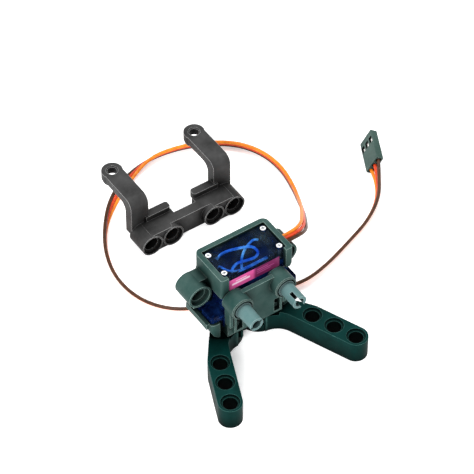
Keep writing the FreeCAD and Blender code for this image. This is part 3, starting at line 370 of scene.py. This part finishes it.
# The third colour of each moulding is its painted edge highlight.
HOUSING = moulded("housing_moulding", (0.017, 0.048, 0.043), (0.042, 0.079, 0.071), (0.36, 0.48, 0.44),
                  rough=0.46, edge_share=1.0, reach=5)
JAW = moulded("jaw_moulding", (0.001, 0.016, 0.014), (0.002, 0.030, 0.027), (0.08, 0.21, 0.19),
              rough=0.46, edge_share=0.9, shine=0.02, reach=8)
PIN = moulded("pin_moulding", (0.072, 0.145, 0.145), (0.112, 0.190, 0.190), (0.42, 0.52, 0.52),
              rough=0.38, edge_share=0.9)
BRACKET = moulded("bracket_moulding", (0.024, 0.024, 0.024), (0.052, 0.052, 0.052), (0.50, 0.50, 0.50),
                  rough=0.42, edge_share=1.0, reach=9)
PLUG = moulded("plug_moulding", (0.030, 0.058, 0.050), (0.056, 0.094, 0.082), (0.24, 0.32, 0.29), rough=0.42)
NYLON = moulded("gear_nylon", (0.72, 0.72, 0.68), (0.82, 0.82, 0.79), (0.9, 0.9, 0.88),
                rough=0.4, edge_share=0.3)
BOARD = moulded("board_mask", (0.002, 0.004, 0.018), (0.006, 0.016, 0.070), (0.02, 0.06, 0.20), rough=0.3)
SENSOR = moulded("sensor_moulding", (0.02, 0.02, 0.025), (0.04, 0.04, 0.045), (0.1, 0.1, 0.1), rough=0.4)
RUBBER = moulded("grommet_rubber", (0.012, 0.012, 0.012), (0.02, 0.02, 0.02), (0.05, 0.05, 0.05), rough=0.6)
# The second colour of each clear plastic is its paler patches, partly a painted reflection.
COVER = clear_blue("clear_cover", (0.05, 0.17, 0.55), (0.60, 0.86, 1.0), rough=0.04, clearness=0.985)
CASE = clear_blue("dark_clear_case", (0.003, 0.008, 0.045), (0.012, 0.055, 0.25), rough=0.10, clearness=0.60)
STEEL = metal("plated_steel", (0.55, 0.56, 0.57), rough=0.30)
CAN = metal("drawn_can", (0.20, 0.22, 0.28), rough=0.34)
BRASS = metal("turned_brass", (0.80, 0.62, 0.28), rough=0.3)
TINNED = metal("tinned_contact", (0.85, 0.84, 0.80), rough=0.25)
SKY = insulation("sky_blue_jacket", (0.45, 0.85, 1.0), (0.30, 0.70, 0.95))
ORANGE = insulation("orange_jacket", (0.80, 0.24, 0.015), (0.62, 0.15, 0.010))
RED = insulation("red_jacket", (0.62, 0.060, 0.012), (0.45, 0.030, 0.008))
BROWN = insulation("brown_jacket", (0.075, 0.026, 0.008), (0.038, 0.012, 0.004))
LABEL = printed_label("label_print")

FINISHES = (
    (HOUSING, ("rear_housing", "front_cover", "lower_housing")),
    (PIN, ("connector_pins",)),
    (JAW, ("left_jaw", "right_jaw")),
    (BRACKET, ("mounting_bracket",)),
    (CASE, ("servo_case", "servo_gear_cover")),
    (COVER, ("servo_bottom_cover",)),
    (LABEL, ("servo_label",)),
    (BOARD, ("circuit_board",)),
    (SKY, ("inner_wires",)),
    (CAN, ("motor",)),
    (SENSOR, ("position_sensor",)),
    (NYLON, ("first_gear", "second_gear", "third_gear", "output_gear")),
    (BRASS, ("motor_pinion", "output_bush")),
    (STEEL, ("servo_screws", "gear_axle", "pivot_screw", "horn_screw")),
    (RUBBER, ("lead_grommet",)),
    (PLUG, ("plug_housing",)),
    (TINNED, ("plug_contacts",)),
)

for finish, names in FINISHES:
    for name in names:
        mesh = NODES[name].data
        mesh.materials.clear()
        mesh.materials.append(finish)

for name, index, slot, finish in (
    ("brown_insulation", 0, "brown_jacket", BROWN),
    ("red_insulation", 1, "red_jacket", RED),
    ("orange_insulation", 2, "orange_jacket", ORANGE),
):
    cord, points = wire(name, index)
    cord.data.materials.append(finish)

# ---------------------------------------------------------------- floor, light and camera

FLOOR_SIZE = 6
FLOOR_GAP = 0.02 * MM
FLOOR_GLOW = 0.35
ROOM_LIGHT = 0.46
LIGHT_TARGET = Vector((0, 0, 0.01))

# Name, place and side in metres, and power in watts.
SOFT_BOXES = (
    ("key", (-0.55, -0.45, 0.55), 0.35, 8.0),
    ("top", (0.15, 0.30, 0.85), 0.55, 7.5),
    ("fill", (0.60, -0.30, 0.35), 0.40, 1.0),
)

# Place in metres, tilt up from straight down, turn about the vertical, and lens and sensor in millimetres.
CAMERA_PLACE = (-0.2932, -0.4303, 0.5982)
CAMERA_TILT = math.radians(43.049)
CAMERA_TURN = math.radians(-34.180)
CAMERA_LENS = 189.9
SENSOR_WIDTH = 36


def floor():
    """A wide pale floor just below the object, with a faint glow that softens the shadows on it."""
    bpy.ops.mesh.primitive_plane_add(size=FLOOR_SIZE, location=(0, 0, cad_low.z - FLOOR_GAP))
    plane = bpy.context.object
    plane.name = "floor"
    mat, tree, bsdf = shader("pale_floor")
    bsdf.inputs["Base Color"].default_value = (0.93, 0.93, 0.93, 1)
    bsdf.inputs["Emission Color"].default_value = (1, 1, 1, 1)
    bsdf.inputs["Emission Strength"].default_value = FLOOR_GLOW
    bsdf.inputs["Roughness"].default_value = 0.9
    plane.data.materials.append(mat)


def soft_box(name, place, side, power):
    """A square area light that faces the object."""
    lamp = bpy.data.lights.new(name, "AREA")
    lamp.size = side
    lamp.energy = power
    obj = bpy.data.objects.new(name, lamp)
    bpy.context.scene.collection.objects.link(obj)
    obj.location = place
    obj.rotation_euler = (LIGHT_TARGET - obj.location).to_track_quat("-Z", "Y").to_euler()


def studio():
    """A white room with a key light in front on the left, a wide light above and a weak fill on the right."""
    world = bpy.data.worlds.new("studio")
    world.use_nodes = True
    background = world.node_tree.nodes["Background"]
    background.inputs["Color"].default_value = (1, 1, 1, 1)
    background.inputs["Strength"].default_value = ROOM_LIGHT
    bpy.context.scene.world = world
    for name, place, side, power in SOFT_BOXES:
        soft_box(name, place, side, power)
    bpy.context.scene.view_settings.view_transform = "Standard"


def camera():
    """A long lens that looks down at the object from the front left."""
    data = bpy.data.cameras.new("camera")
    data.lens = CAMERA_LENS
    data.sensor_width = SENSOR_WIDTH
    data.clip_start = 0.01
    obj = bpy.data.objects.new("camera", data)
    bpy.context.scene.collection.objects.link(obj)
    obj.location = CAMERA_PLACE
    obj.rotation_euler = (CAMERA_TILT, 0, CAMERA_TURN)
    bpy.context.scene.camera = obj


floor()
studio()
camera()
